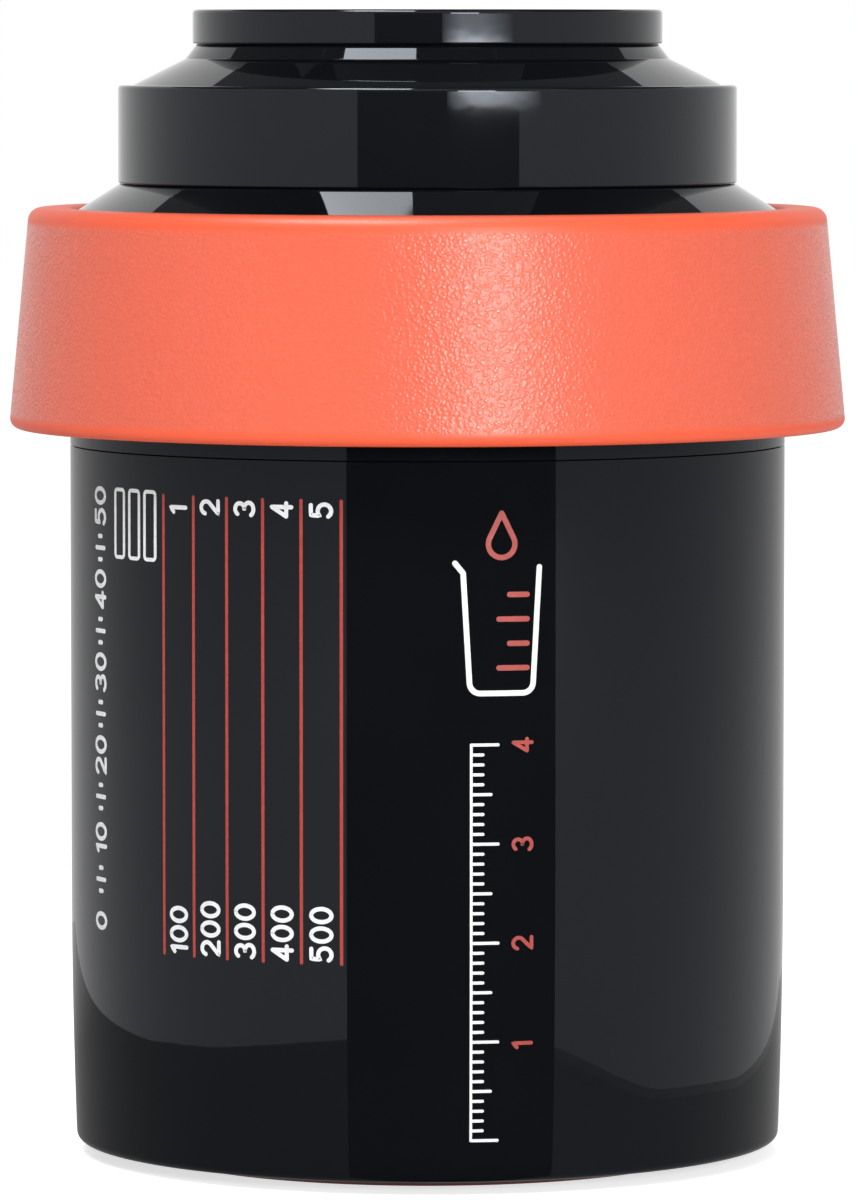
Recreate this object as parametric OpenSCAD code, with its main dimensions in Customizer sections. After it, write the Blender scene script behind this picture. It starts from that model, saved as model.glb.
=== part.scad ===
// Film developing canister: a light-tight tank with a pour-through lid, a soft clamp ring,
// a pull-off pour cap, a flow core with two adjustable spiral reels, and a magnetic drive base.
// Millimetres, +Z up, origin on the floor at the middle of the base. The front faces -Y.

/* [Tank] */
// Outside diameter of the tank wall
tank_d = 82; // [76:0.5:96]
// Thickness of the tank wall
tank_wall = 2.2; // [1.6:0.1:2.8]
// Thickness of the tank floor
tank_floor = 2.2; // [1.6:0.1:3.5]
// How far the wall draws in at the foot, on the radius
foot_draw = 0.57; // [0.2:0.01:1.2]
// Height over which the wall draws in
foot_draw_h = 32; // [15:1:60]
// Rounding of the edge at the foot
foot_round = 1; // [0.4:0.1:1.8]
// Free height between the reels and the rim
head_room = 7.7; // [7:0.1:14]
// How far the bead round the rim stands out
rim_bead = 1.2; // [0.8:0.1:2]
// Height of the bead round the rim
rim_bead_h = 1.6; // [1:0.1:2.4]
// Depth of the fine line round the wall under the clamp ring
line_depth = 0.25; // [0.1:0.05:0.5]
// Width of that line
line_w = 0.5; // [0.3:0.1:1]
// Distance of that line below the clamp ring
line_drop = 1.9; // [1:0.1:5]

/* [Drive base] */
// Height of the base disc under the tank
foot_h = 1.4; // [1:0.1:3]
// Diameter of the base disc
base_d = 64.8; // [54:0.2:68]
// Diameter of the hub that plugs into the tank floor
hub_d = 44; // [38:0.5:50]
// Depth of the recess in the tank floor
recess_depth = 4; // [3.4:0.1:6]
// Thickness of the base under the magnet
base_floor = 1.6; // [1:0.1:2]
// Wall of the hub round the magnet
hub_wall = 1.8; // [1.2:0.1:2.6]
// Outside diameter of the ring magnet
magnet_d = 36; // [28:0.5:36]
// Hole of the ring magnet
magnet_hole = 18; // [12:0.5:22]
// Thickness of the plate over the magnet
cover_t = 1.2; // [0.8:0.1:1.6]
// Depth of the shallow dish under the base
dish_depth = 0.4; // [0.2:0.1:0.6]

/* [Core] */
// Outside diameter of the flow core
core_d = 25; // [22:0.5:28]
// Wall of the flow core
core_wall = 1.5; // [1.2:0.1:2]
// Diameter of the flange that carries the reels
core_flange_d = 40; // [36:0.5:44]
// Thickness of that flange
core_flange_t = 1.6; // [1.2:0.1:2.5]
// Height of the flow arches at the core's foot
arch_h = 3.2; // [2.6:0.1:6]
// Width of the flow arches
arch_w = 9; // [6:0.5:11]
// Number of flow arches
arch_count = 4; // [3:1:5]
// How far the core reaches above the reels
core_over = 2.5; // [1:0.1:3.5]
// Height of the ribs on the floor that locate the core
locator_h = 2; // [1:0.1:2.2]

/* [Reels] */
// Width of the film that the reels are set to
film_w = 35; // [32:0.5:40]
// Play of the film between the flanges
film_play = 0.4; // [0.2:0.1:1]
// Steps from the set width to the wider films
wide_steps = [11, 26.5];
// Thickness of the flange plates
web_t = 1.6; // [1.2:0.1:2]
// Height of the spiral ribs
rib_h = 2; // [1.4:0.1:2.6]
// Thickness of the spiral ribs
rib_t = 0.7; // [0.5:0.05:0.9]
// Step between one turn of the spiral and the next
pitch = 1.8; // [1.5:0.05:2.4]
// How far the hubs stand proud of the flange plates
hub_proud = 0.8; // [0.6:0.1:1.6]
// Wall of the two telescoping hub sleeves
sleeve_wall = 1.8; // [1.4:0.1:2.2]
// Width of the rim round the flange plates
reel_rim = 1.4; // [1:0.1:2]
// Gap between the reels and the tank wall
reel_gap = 1; // [0.6:0.1:2]
// Number of windows in each flange plate
window_count = 6; // [4:1:8]
// Width of the spokes between the windows, as an angle
spoke_angle = 12; // [8:1:20]
// Width of the film mouth in the rim, as an angle
mouth_angle = 26; // [16:1:34]
// How far the top half twists each way to walk the film in
twist = 25; // [10:1:30]
// Width of the sleeve lugs, as an angle
lug_angle = 12; // [8:1:16]
// Height of the sleeve lugs
lug_h = 3; // [2:0.1:4]
// Length of the film tab along the turns
tab_l = 6; // [4:0.2:8]
// Width of the film tab across the turns
tab_w = 4; // [3:0.2:5]
// Travel of the film tab
tab_travel = 1.6; // [1:0.1:1.6]

/* [Lid] */
// Thickness of the seal on the rim
seal_t = 1; // [0.8:0.1:2]
// Width of the seal
seal_w = 1.9; // [1.4:0.1:2.4]
// Thickness of the lid flange
flange_t = 3.6; // [2.5:0.1:5]
// How far the lid flange reaches past the rim bead
flange_lap = 0.8; // [0.6:0.1:1.5]
// Wall of the lid
lid_wall = 2; // [1.5:0.1:2.6]
// Depth of the plug inside the tank rim
plug_h = 5; // [3:0.1:6]
// Wall of that plug
plug_wall = 1.5; // [1.2:0.1:2]
// How far the shoulder lies inside the tank wall, on the radius
shoulder_in = 0.8; // [0.4:0.1:1.5]
// Depth of the shoulder's edge below the clamp ring's top
shoulder_sink = 0.4; // [0.2:0.1:1.2]
// Rise of the shoulder cone
shoulder_rise = 3.1; // [2:0.1:5]
// Diameter of the shoulder cone's upper edge
shoulder_top_d = 70.2; // [67:0.2:72]
// Width of the ledge round the neck that the shoulder cone ends in
ledge_w = 1.9; // [1.5:0.1:2.3]
// Height of the neck above the shoulder
neck_h = 8.3; // [6:0.1:14]
// Wall of the neck
neck_wall = 1.6; // [1.2:0.1:2.2]

/* [Funnel] */
// Thickness of the funnel wall
funnel_wall = 1.5; // [1.2:0.1:2]
// Thickness of the funnel's rim on the neck
funnel_rim_t = 1.2; // [0.8:0.1:2]
// Depth of the funnel's straight collar
collar_h = 4; // [2:0.1:6]
// Gap between the spout and the core bore
spout_gap = 0.5; // [0.3:0.05:1]
// How far the spout dips into the core
spout_dip = 11; // [6:0.5:20]
// Height of the spout above the core, up to the cone
spout_rise = 1.7; // [1.4:0.1:3]

/* [Clamp ring] */
// Height of the clamp ring
ring_h = 25.2; // [20:0.1:32]
// Wall of the clamp ring
ring_wall = 2.35; // [1.8:0.05:3]
// How far the skirt flares out, on the radius
ring_flare = 2.35; // [1:0.05:4]
// Thickness of the lip over the lid flange
lip_t = 3.5; // [3:0.1:5]
// Gap between the lip and the lid's shoulder
lip_gap = 0.55; // [0.4:0.05:1.2]
// Rounding of the upper outer edge
ring_top_round = 1.5; // [0.6:0.1:1.7]
// Rounding of the lower edge
ring_foot_round = 1.1; // [0.5:0.1:1.2]
// Free travel of the clamp ring on the lid
ring_travel = 3.5; // [2:0.1:5]
// Height of the bead inside the clamp ring
bead_h = 2; // [1:0.1:3]

/* [Pour cap] */
// Wall of the cap's band
cap_wall = 1.95; // [1.6:0.05:2.4]
// Thickness of the cap's cone and top
cap_top_t = 1.8; // [1.4:0.1:2.4]
// Width of the step between the band and the cone
step_w = 2.45; // [1.5:0.05:3.2]
// Rise of the cap's cone
cone_rise = 4.3; // [3:0.1:8]
// Diameter of the waist under the cap's disc
waist_d = 51.8; // [44:0.2:56]
// Width of the steep flare between the cone and the waist
flare_w = 1.6; // [0.8:0.1:3]
// Height of that flare
flare_h = 1.5; // [0.8:0.1:2.4]
// Height of the waist
waist_h = 0.6; // [0.4:0.1:2]
// How far the disc stands out past the waist
disc_out = 1; // [0.5:0.1:2]
// Thickness of the disc
disc_t = 3.7; // [2.8:0.1:5]
// Depth of the shallow dish in the disc
cap_dish = 0.8; // [0.3:0.1:1]
// Width of the rim round that dish
cap_dish_rim = 3.4; // [2.6:0.1:5]
// Rounding of the cap's edges
cap_round = 0.45; // [0.2:0.05:0.6]

/* [Fits] */
// Clearance between pieces that move apart
fit_gap = 0.3; // [0.2:0.05:0.4]
// Clearance between pieces that are bonded together
bond_gap = 0.1; // [0.05:0.05:0.2]

/* [Hidden] */
$fn = 96;

// Colours
black = [0.06, 0.06, 0.065];
coral = [0.93, 0.36, 0.27];
dark_red = [0.60, 0.10, 0.08];
ivory = [0.90, 0.88, 0.82];
ferrite = [0.20, 0.20, 0.21];
seal_grey = [0.13, 0.13, 0.13];

// Steps in a rounded edge, steps in the drawn-in wall, the overreach of a through cut, and half a turn
arc_steps = 6;
draw_steps = 8;
over = 1;
half_turn = 180;

// Tank levels and radii
tank_r = tank_d / 2;
foot_z = foot_h;
draw_z = foot_z + foot_draw_h;
foot_r = tank_r - foot_draw;
recess_r = hub_d / 2 + fit_gap;
recess_z = foot_z + recess_depth;
gutter_z = foot_z + tank_floor;
seat_z = recess_z + tank_floor;
pillar_r = recess_r + tank_wall;

// Core levels and radii
core_r = core_d / 2;
core_bore_r = core_r - core_wall;
core_flange_z = seat_z + arch_h;
stack_z = core_flange_z + core_flange_t;

// Reel sizes, measured from the reel's own lower end
bore_r = core_r + fit_gap;
sleeve_r = bore_r + sleeve_wall;
outer_sleeve_r = sleeve_r + fit_gap;
outer_sleeve_end_r = outer_sleeve_r + sleeve_wall;
film_gap = film_w + film_play;
low_web_z = hub_proud;
low_face_z = low_web_z + web_t;
high_face_z = low_face_z + film_gap;
high_web_z = high_face_z + web_t;
reel_h = high_web_z + hub_proud;
reel_r = foot_r - tank_wall - reel_gap;
rim_in_r = reel_r - reel_rim;
hub_ring_r = outer_sleeve_end_r + sleeve_wall;
spiral_in_r = outer_sleeve_end_r + pitch;
half_turns = floor((rim_in_r - rib_t / 2 - spiral_in_r) / (pitch / 2));
spiral_out_r = spiral_in_r + half_turns * pitch / 2;
lug_z = high_face_z - lug_h - web_t;
lug_r = outer_sleeve_end_r - fit_gap;
half_slot = twist + lug_angle / 2 + asin(fit_gap / outer_sleeve_r);
half_channel = half_slot - twist;
tab_r = (hub_ring_r + rim_in_r) / 2;
tab_pad = 2 * web_t;
tab_rise = fit_gap;

// Stack levels
upper_reel_z = stack_z + reel_h;
stack_top_z = upper_reel_z + reel_h;
rim_z = stack_top_z + head_room;
core_top_z = stack_top_z + core_over;
rim_bead_r = tank_r + rim_bead;

// Lid levels and radii
flange_z = rim_z + seal_t;
flange_top_z = flange_z + flange_t;
flange_r = rim_bead_r + flange_lap;
shoulder_r = tank_r - shoulder_in;
shoulder_top_r = shoulder_top_d / 2;
ring_top_z = flange_top_z + lip_t;
ring_z = ring_top_z - ring_h;
shoulder_z = ring_top_z - shoulder_sink;
ledge_z = shoulder_z + shoulder_rise;
neck_r = shoulder_top_r - ledge_w;
neck_bore_r = neck_r - neck_wall;
neck_top_z = ledge_z + neck_h;
plug_r = tank_r - tank_wall - fit_gap;

// Funnel
funnel_top_z = neck_top_z + funnel_rim_t;
collar_r = neck_bore_r - bond_gap;
spout_r = core_bore_r - spout_gap;
spout_bore_r = spout_r - funnel_wall;
spout_top_z = core_top_z + spout_rise;
spout_z = core_top_z - spout_dip;
cone_top_z = neck_top_z - collar_h;
funnel_slope = atan((cone_top_z - spout_top_z) / (collar_r - spout_r));
funnel_lift = funnel_wall * tan((90 - funnel_slope) / 2);

// Clamp ring
lip_r = shoulder_r + lip_gap;
ring_bore_r = flange_r + fit_gap;
ring_top_r = ring_bore_r + ring_wall;
ring_foot_r = ring_top_r + ring_flare;
bead_r = rim_bead_r + fit_gap;
bead_top_z = flange_z - ring_travel - fit_gap;
bead_z = bead_top_z - bead_h;

// Pour cap
band_bore_r = neck_r + fit_gap;
band_r = band_bore_r + cap_wall;
band_z = ledge_z + bond_gap;
band_top_z = funnel_top_z + cap_top_t;
cone_r = band_r - step_w;
waist_r = waist_d / 2;
waist_z = band_top_z + cone_rise;
disc_r = waist_r + disc_out;
disc_z = waist_z + waist_h;
cap_top_z = disc_z + disc_t;
flare_r = waist_r + flare_w;
flare_z = waist_z - flare_h;
cap_slope = atan((flare_z - band_top_z) / (cone_r - flare_r));
cap_in_r = waist_r - cap_top_t;

// A point ring part from angle a0 to a1 round (cx, cy)
function arc(cx, cy, r, a0, a1) =
    [for (i = [0 : arc_steps]) let (a = a0 + (a1 - a0) * i / arc_steps) [cx + r * cos(a), cy + r * sin(a)]];

// Radius of the tank's outside at height z: straight above, drawn in by a square law near the foot
function wall_r(z) = tank_r - foot_draw * pow(max(0, (draw_z - z) / foot_draw_h), 2);

// The drawn-in wall from height z0 up to the straight part, set in by the given thickness
function drawn_wall(z0, inset) =
    [for (i = [0 : draw_steps]) let (z = z0 + (draw_z - z0) * i / draw_steps) [wall_r(z) - inset, z]];

function reversed(points) = [for (i = [len(points) - 1 : -1 : 0]) points[i]];

// A tube, or a sector of one when an angle is given
module tube(r_in, r_out, z, h, start = 0, angle = 360) {
    rotate([0, 0, start])
        rotate_extrude(angle = angle)
            translate([r_in, z])
                square([r_out - r_in, h]);
}

module tank_body() {
    line_z = ring_z - line_drop;
    outside = concat(
        arc(wall_r(foot_z) - foot_round, foot_z + foot_round, foot_round, -90, 0),
        drawn_wall(foot_z + foot_round + line_w, 0),
        [[tank_r, line_z - line_w / 2],
        [tank_r - line_depth, line_z],
        [tank_r, line_z + line_w / 2],
        [tank_r, rim_z - rim_bead_h - rim_bead],
        [rim_bead_r, rim_z - rim_bead_h]]);
    inside = concat(
        [[rim_bead_r, rim_z],
        [tank_r - tank_wall, rim_z]],
        reversed(drawn_wall(gutter_z + foot_round, tank_wall)),
        [[wall_r(gutter_z) - tank_wall - foot_round, gutter_z],
        [pillar_r, gutter_z],
        [pillar_r, seat_z],
        [0, seat_z],
        [0, recess_z],
        [recess_r, recess_z],
        [recess_r, foot_z]]);
    arch_half = asin(arch_w / 2 / core_r);
    arch_step = 360 / arch_count;
    color(black)
    union() {
        rotate_extrude() polygon(concat(outside, inside));
        for (i = [0 : arch_count - 1])
            tube(core_r + fit_gap, core_r + fit_gap + tank_wall,
                seat_z - tank_floor / 2, tank_floor / 2 + locator_h,
                i * arch_step + arch_half, arch_step - 2 * arch_half);
    }
}

module drive_base() {
    base_r = base_d / 2;
    hub_r = hub_d / 2;
    edge = foot_h / 3;
    dish_r = magnet_hole / 2 + hub_wall;
    color(dark_red)
    rotate_extrude()
        polygon([[0, dish_depth], [dish_r, dish_depth], [dish_r + dish_depth, 0],
            [base_r - edge, 0], [base_r, edge], [base_r, foot_z],
            [hub_r, foot_z], [hub_r, recess_z - bond_gap],
            [hub_r - hub_wall, recess_z - bond_gap], [hub_r - hub_wall, base_floor],
            [magnet_hole / 2 - fit_gap, base_floor],
            [magnet_hole / 2 - fit_gap, recess_z - bond_gap - cover_t],
            [0, recess_z - bond_gap - cover_t]]);
}

module ring_magnet() {
    color(ferrite)
    tube(magnet_hole / 2, magnet_d / 2, base_floor, recess_z - bond_gap - cover_t - base_floor);
}

module magnet_cover() {
    color(black)
    translate([0, 0, recess_z - bond_gap - cover_t])
        cylinder(r = hub_d / 2 - hub_wall - bond_gap, h = cover_t);
}

module core_tube() {
    arch_step = 360 / arch_count;
    color(black)
    difference() {
        union() {
            tube(core_bore_r, core_r, seat_z, core_top_z - seat_z);
            tube(core_bore_r, core_flange_d / 2, core_flange_z, core_flange_t);
        }
        for (i = [0 : arch_count - 1])
            rotate([0, 0, i * arch_step])
                translate([0, -arch_w / 2, seat_z - over])
                    cube([core_r + over, arch_w, arch_h + over]);
    }
}

// Half rings about two centres half a pitch apart join into one smooth spiral
module spiral_ribs(z, h) {
    step = pitch / 2;
    for (k = [0 : half_turns - 1])
        let (upper = k % 2 == 0, r = spiral_in_r + k * step)
            translate([upper ? -step / 2 : step / 2, 0, 0])
                tube(r - rib_t / 2, r + rib_t / 2, z, h, upper ? 0 : half_turn, half_turn);
}

// A flange plate with windows, rim and spiral: z is the plate's underside and up says
// whether the ribs stand up from it or hang down
module flange(z, up) {
    rib_root = web_t / 2;
    ribs_z = up ? z + rib_root : z + web_t - rib_root - (rib_h + web_t - rib_root);
    ribs_h = rib_h + web_t - rib_root;
    rim_low_z = up ? z : z - rib_h;
    mouth_z = up ? z + web_t : z - rib_h - over;
    window_step = 360 / window_count;
    mouth_start = half_turns % 2 == 0 ? 0 : half_turn;
    difference() {
        union() {
            tube(bore_r, reel_r, z, web_t);
            tube(rim_in_r, reel_r, rim_low_z, web_t + rib_h);
        }
        for (i = [0 : window_count - 1])
            tube(hub_ring_r, rim_in_r - reel_rim, z - over, web_t + 2 * over,
                (i + 0.5) * window_step + spoke_angle / 2, window_step - spoke_angle);
        tube(rim_in_r - over, reel_r + over, mouth_z, rib_h + over, mouth_start, mouth_angle);
    }
    difference() {
        spiral_ribs(ribs_z, ribs_h);
        if (up)
            translate([0, 0, ribs_z - over])
                cylinder(r = bore_r, h = ribs_h + 2 * over);
    }
}

// Window for the film tab, through plate and ribs
module tab_window(pad) {
    size = [tab_w + 2 * pad, tab_l + 2 * pad];
    translate([tab_r - size[0] / 2, -size[1] / 2, high_face_z - rib_h - over])
        cube([size[0], size[1], rib_h + web_t + 2 * over]);
}

module reel_base() {
    color(ivory)
    union() {
        flange(low_web_z, true);
        tube(bore_r, outer_sleeve_end_r, 0, low_face_z);
        tube(bore_r, sleeve_r, 0, high_face_z);
        for (side = [0, half_turn])
            tube(sleeve_r - sleeve_wall / 2, lug_r, lug_z, lug_h, side - lug_angle / 2, lug_angle);
    }
}

module reel_top() {
    slots = concat([0], wide_steps);
    sleeve_z = low_face_z + fit_gap;
    tab_angle = 0;
    color(ivory)
    difference() {
        union() {
            flange(high_face_z, false);
            tube(bore_r, outer_sleeve_end_r, high_face_z, web_t + hub_proud);
            tube(outer_sleeve_r, outer_sleeve_end_r, sleeve_z, high_face_z - sleeve_z + web_t / 2);
            rotate([0, 0, tab_angle])
                translate([tab_r - tab_w / 2 - tab_pad, -tab_l / 2 - tab_pad, high_face_z])
                    cube([tab_w + 2 * tab_pad, tab_l + 2 * tab_pad, web_t]);
        }
        for (side = [0, half_turn])
            for (drop = slots)
                tube(sleeve_r, outer_sleeve_end_r + over, lug_z - drop - fit_gap, lug_h + 2 * fit_gap,
                    side - half_slot, 2 * half_slot);
        for (side = [0, half_turn])
            tube(sleeve_r, outer_sleeve_end_r + over, sleeve_z - over, lug_z - sleeve_z + over,
                side - half_slot, 2 * half_channel);
        rotate([0, 0, tab_angle])
            tab_window(fit_gap);
    }
}

// Pressed down between the turns at rest
module film_tab() {
    tab_h = rib_h + web_t - tab_rise;
    color(coral)
    translate([tab_r - tab_w / 2, -tab_l / 2, high_face_z - rib_h])
        cube([tab_w, tab_l, tab_h]);
}

module lower_reel_base() { translate([0, 0, stack_z]) reel_base(); }
module lower_reel_top() { translate([0, 0, stack_z]) reel_top(); }
module lower_film_tab() { translate([0, 0, stack_z]) film_tab(); }
module upper_reel_base() { translate([0, 0, upper_reel_z]) reel_base(); }
module upper_reel_top() { translate([0, 0, upper_reel_z]) reel_top(); }
module upper_film_tab() { translate([0, 0, upper_reel_z]) film_tab(); }

module lid_shell() {
    in_r = shoulder_r - lid_wall;
    cone_angle = atan(shoulder_rise / (shoulder_r - shoulder_top_r));
    drop = lid_wall * tan(45 - cone_angle / 2);
    under_z = shoulder_z - drop;
    neck_drop = lid_wall / cos(cone_angle);
    neck_under_z = shoulder_z + (shoulder_r - neck_bore_r) * tan(cone_angle) - neck_drop;
    color(black)
    rotate_extrude()
        polygon([[plug_r - plug_wall, rim_z - plug_h], [plug_r, rim_z - plug_h], [plug_r, flange_z],
            [flange_r, flange_z], [flange_r, flange_top_z], [shoulder_r, flange_top_z],
            [shoulder_r, shoulder_z], [shoulder_top_r, ledge_z], [neck_r, ledge_z],
            [neck_r, neck_top_z], [neck_bore_r, neck_top_z], [neck_bore_r, neck_under_z],
            [in_r, under_z], [plug_r - plug_wall, under_z - lid_wall]]);
}

module pour_funnel() {
    color(black)
    rotate_extrude()
        polygon([[collar_r, neck_top_z], [neck_r - fit_gap, neck_top_z], [neck_r - fit_gap, funnel_top_z],
            [collar_r - funnel_wall, funnel_top_z], [collar_r - funnel_wall, cone_top_z + funnel_lift],
            [spout_bore_r, spout_top_z + funnel_lift], [spout_bore_r, spout_z], [spout_r, spout_z],
            [spout_r, spout_top_z], [collar_r, cone_top_z]]);
}

module lid_seal() {
    color(seal_grey)
    tube(plug_r + bond_gap, plug_r + bond_gap + seal_w, rim_z, seal_t);
}

module clamp_ring() {
    top = ring_top_round;
    foot = ring_foot_round;
    lean = atan(ring_flare / ring_h);
    color(coral)
    rotate_extrude()
        polygon(concat(
            arc(ring_foot_r - foot, ring_z + foot, foot, -90, lean),
            arc(ring_top_r - top, ring_top_z - top, top, lean, 90),
            arc(lip_r + top / 2, ring_top_z - top / 2, top / 2, 90, 180),
            [[lip_r, flange_top_z],
            [ring_bore_r, flange_top_z],
            [ring_bore_r, bead_top_z],
            [bead_r, bead_top_z],
            [bead_r, bead_z],
            [ring_bore_r, bead_z - (ring_bore_r - bead_r)],
            [ring_foot_r - 2 * foot, ring_z + foot]],
            arc(ring_foot_r - foot, ring_z + foot, foot, 180, 270)));
}

module pour_cap() {
    round = cap_round;
    cone_in_z = band_top_z - cap_top_t;
    cone_drop = cap_top_t / cos(cap_slope);
    cone_in_r = cone_r - (cone_in_z + cone_drop - band_top_z) / tan(cap_slope);
    waist_in_z = flare_z + (flare_r - cap_in_r) * tan(cap_slope) - cone_drop;
    dish_r = disc_r - cap_dish_rim;
    color(black)
    rotate_extrude()
        polygon(concat(
            [[band_bore_r, band_z], [band_r - round, band_z], [band_r, band_z + round]],
            arc(band_r - round, band_top_z - round, round, 0, 90),
            [[cone_r, band_top_z], [flare_r, flare_z], [waist_r, waist_z], [waist_r, disc_z]],
            arc(disc_r - round, disc_z + round, round, -90, 0),
            arc(disc_r - round, cap_top_z - round, round, 0, 90),
            [[dish_r + cap_dish, cap_top_z], [dish_r, cap_top_z - cap_dish], [0, cap_top_z - cap_dish],
            [0, cap_top_z - cap_dish - cap_top_t], [cap_in_r, cap_top_z - cap_dish - cap_top_t],
            [cap_in_r, waist_in_z], [cone_in_r, cone_in_z], [band_bore_r, cone_in_z]]));
}

tank_body();
drive_base();
ring_magnet();
magnet_cover();
core_tube();
lower_reel_base();
lower_reel_top();
lower_film_tab();
upper_reel_base();
upper_reel_top();
upper_film_tab();
lid_shell();
pour_funnel();
lid_seal();
clamp_ring();
pour_cap();
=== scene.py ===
"""Looks of the film developing canister: moulded surfaces, prints, finishes, studio and camera."""
import math

import bmesh
import bpy
import numpy as np
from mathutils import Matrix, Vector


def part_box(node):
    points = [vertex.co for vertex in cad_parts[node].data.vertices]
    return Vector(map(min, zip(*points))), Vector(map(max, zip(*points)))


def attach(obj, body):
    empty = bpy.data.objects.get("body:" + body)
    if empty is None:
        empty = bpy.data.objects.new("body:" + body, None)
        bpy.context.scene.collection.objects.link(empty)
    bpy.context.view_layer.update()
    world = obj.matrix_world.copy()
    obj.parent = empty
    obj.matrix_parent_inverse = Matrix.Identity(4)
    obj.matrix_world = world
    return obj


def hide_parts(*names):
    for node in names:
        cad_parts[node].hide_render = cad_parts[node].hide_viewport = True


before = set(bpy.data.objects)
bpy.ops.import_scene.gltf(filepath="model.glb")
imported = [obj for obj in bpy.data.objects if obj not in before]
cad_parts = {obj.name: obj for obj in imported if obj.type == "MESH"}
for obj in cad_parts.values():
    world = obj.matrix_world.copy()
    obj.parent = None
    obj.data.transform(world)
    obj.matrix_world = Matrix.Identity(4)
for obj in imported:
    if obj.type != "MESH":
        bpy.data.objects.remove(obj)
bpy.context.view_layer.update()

MM = 0.001
SEGMENTS = 288
ARC_POINTS = 9
GUARD = 0.03
SHARP_ANGLE = math.radians(28)
MERGE_DISTANCE = 1e-8


# Sizes in millimetres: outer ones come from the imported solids, the others repeat or refine the source's

def span(node):
    """(radius, lowest z, highest z) of a round CAD node."""
    low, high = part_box(node)
    return high[0] / MM, low[2] / MM, high[2] / MM


RIM_R, FOOT_Z, RIM_Z = span("tank_body")
RING_FOOT_R, RING_Z, RING_TOP_Z = span("clamp_ring")
BAND_R, BAND_Z, CAP_TOP_Z = span("pour_cap")
FLANGE_R, PLUG_Z, NECK_TOP_Z = span("lid_shell")
FLANGE_Z = span("lid_seal")[2]
FUNNEL_TOP_Z = span("pour_funnel")[2]

EDGE, FINE_EDGE, CRISP_EDGE = 0.3, 0.2, 0.15

TANK_R, TANK_WALL = 41.0, 2.2
FOOT_DRAW, FOOT_DRAW_H, FOOT_ROUND = 0.57, 32.0, 1.0
DRAW_Z = FOOT_Z + FOOT_DRAW_H
WALL_ROWS, BORE_ROWS, ROWS_START = 25, 17, 0.5
RECESS_R, RECESS_Z, RECESS_ROUND = 22.3, FOOT_Z + 4.0, 0.4
GUTTER_Z, SEAT_Z, PILLAR_R, PILLAR_ROUND = FOOT_Z + 2.2, FOOT_Z + 6.2, 24.5, 0.5
LINE_Z, LINE_W, LINE_DEPTH = RING_Z - 1.9, 0.16, 0.25
BEAD_H, BEAD_OUT, BEAD_ROUND = 1.6, RIM_R - TANK_R, 0.4

LOCATORS, LOCATOR_R, LOCATOR_SUNK, LOCATOR_H = 4, 12.8, 1.0, 2.0
CORE_R, CORE_ARCH_HALF = 12.5, 4.5
LOCATOR_HALF_GAP = math.degrees(math.asin(CORE_ARCH_HALF / CORE_R))

RING_TOP_R, RING_TOP_ROUND = 45.65, 1.5
RING_WALL, RING_FOOT_ROUND, RING_INNER_ROUND = 2.2, 1.1, 1.0
LIP_R, LIP_H, LIP_ROUND = 40.75, 3.5, 0.75
RING_BORE_R, SNAP_R = 43.3, 42.5
SNAP_FOOT_Z, SNAP_Z, SNAP_TOP_Z = RIM_Z - 5.6, RIM_Z - 4.8, RIM_Z - 2.8

PLUG_R, PLUG_IN_R = 38.5, 37.0
FLANGE_TOP_Z, FLANGE_ROUND = RING_TOP_Z - LIP_H, 0.4
SHOULDER_R, SHOULDER_Z = 40.2, RING_TOP_Z - 0.4
LEDGE_R, LEDGE_Z, LEDGE_ROUND = 35.2, BAND_Z - 0.04, 0.1
NECK_R, NECK_IN_R = 33.2, 31.6
ROOF_R, ROOF_Z, ROOF_ROUND = 38.2, SHOULDER_Z - 1.12, 0.6
ROOF_TOP_Z, PLUG_TOP_Z = LEDGE_Z - 0.27, FLANGE_TOP_Z - 0.02

BAND_IN_R, BRIM_ROUND = 33.5, 0.45
STEP_R, STEP_Z = 33.7, CAP_TOP_Z - 8.6
FACET_R, FACET_Z = 27.7, CAP_TOP_Z - 5.6
WAIST_R, DISC_R, DISC_Z = 26.4, 26.9, CAP_TOP_Z - 3.9
DISH_R, DISH_FLOOR_R, DISH_DEPTH = 24.3, 23.5, 0.8
HOLLOW_R, HOLLOW_DEPTH, HOLLOW_ROUND = 24.1, 2.6, 0.5
HOLLOW_Z = CAP_TOP_Z - 6.09
CONE_IN_R, CONE_IN_Z = 32.57, FUNNEL_TOP_Z


def wall_r(z):
    """Outside radius of the tank at height z: R, less draw ((Z - z) / H) squared below the height Z."""
    return TANK_R - FOOT_DRAW * np.maximum(0.0, (DRAW_Z - z) / FOOT_DRAW_H) ** 2


# Surfaces

def outline(*corners):
    """A closed profile of (r, z) or (r, z, rounding): each rounded corner becomes the arc that touches both
    its sides, (sin(f - s) p + sin(s) q) / sin(f) about its centre for s from 0 to f, with a guard point just
    before and just after it, so that flat faces shade flat."""
    corners = [tuple(c) + (0.0,) * (3 - len(c)) for c in corners]
    points = []
    for i, (r, z, rounding) in enumerate(corners):
        here = np.array([r, z])
        if rounding <= 0:
            points.append(here[None])
            continue
        before = np.array(corners[i - 1][:2]) - here
        after = np.array(corners[(i + 1) % len(corners)][:2]) - here
        before /= np.linalg.norm(before)
        after /= np.linalg.norm(after)
        half = math.acos(np.clip(before @ after, -1, 1)) / 2
        middle = (before + after) / np.linalg.norm(before + after)
        centre = here + middle * rounding / math.sin(half)
        start = here + before * rounding / math.tan(half) - centre
        end = here + after * rounding / math.tan(half) - centre
        full = math.pi - 2 * half
        swing = np.linspace(0, full, ARC_POINTS)[:, None]
        bend = centre + (np.sin(full - swing) * start + np.sin(swing) * end) / math.sin(full)
        points += [bend[:1] + before * GUARD, bend, bend[-1:] + after * GUARD]
    return np.concatenate(points)


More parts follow.
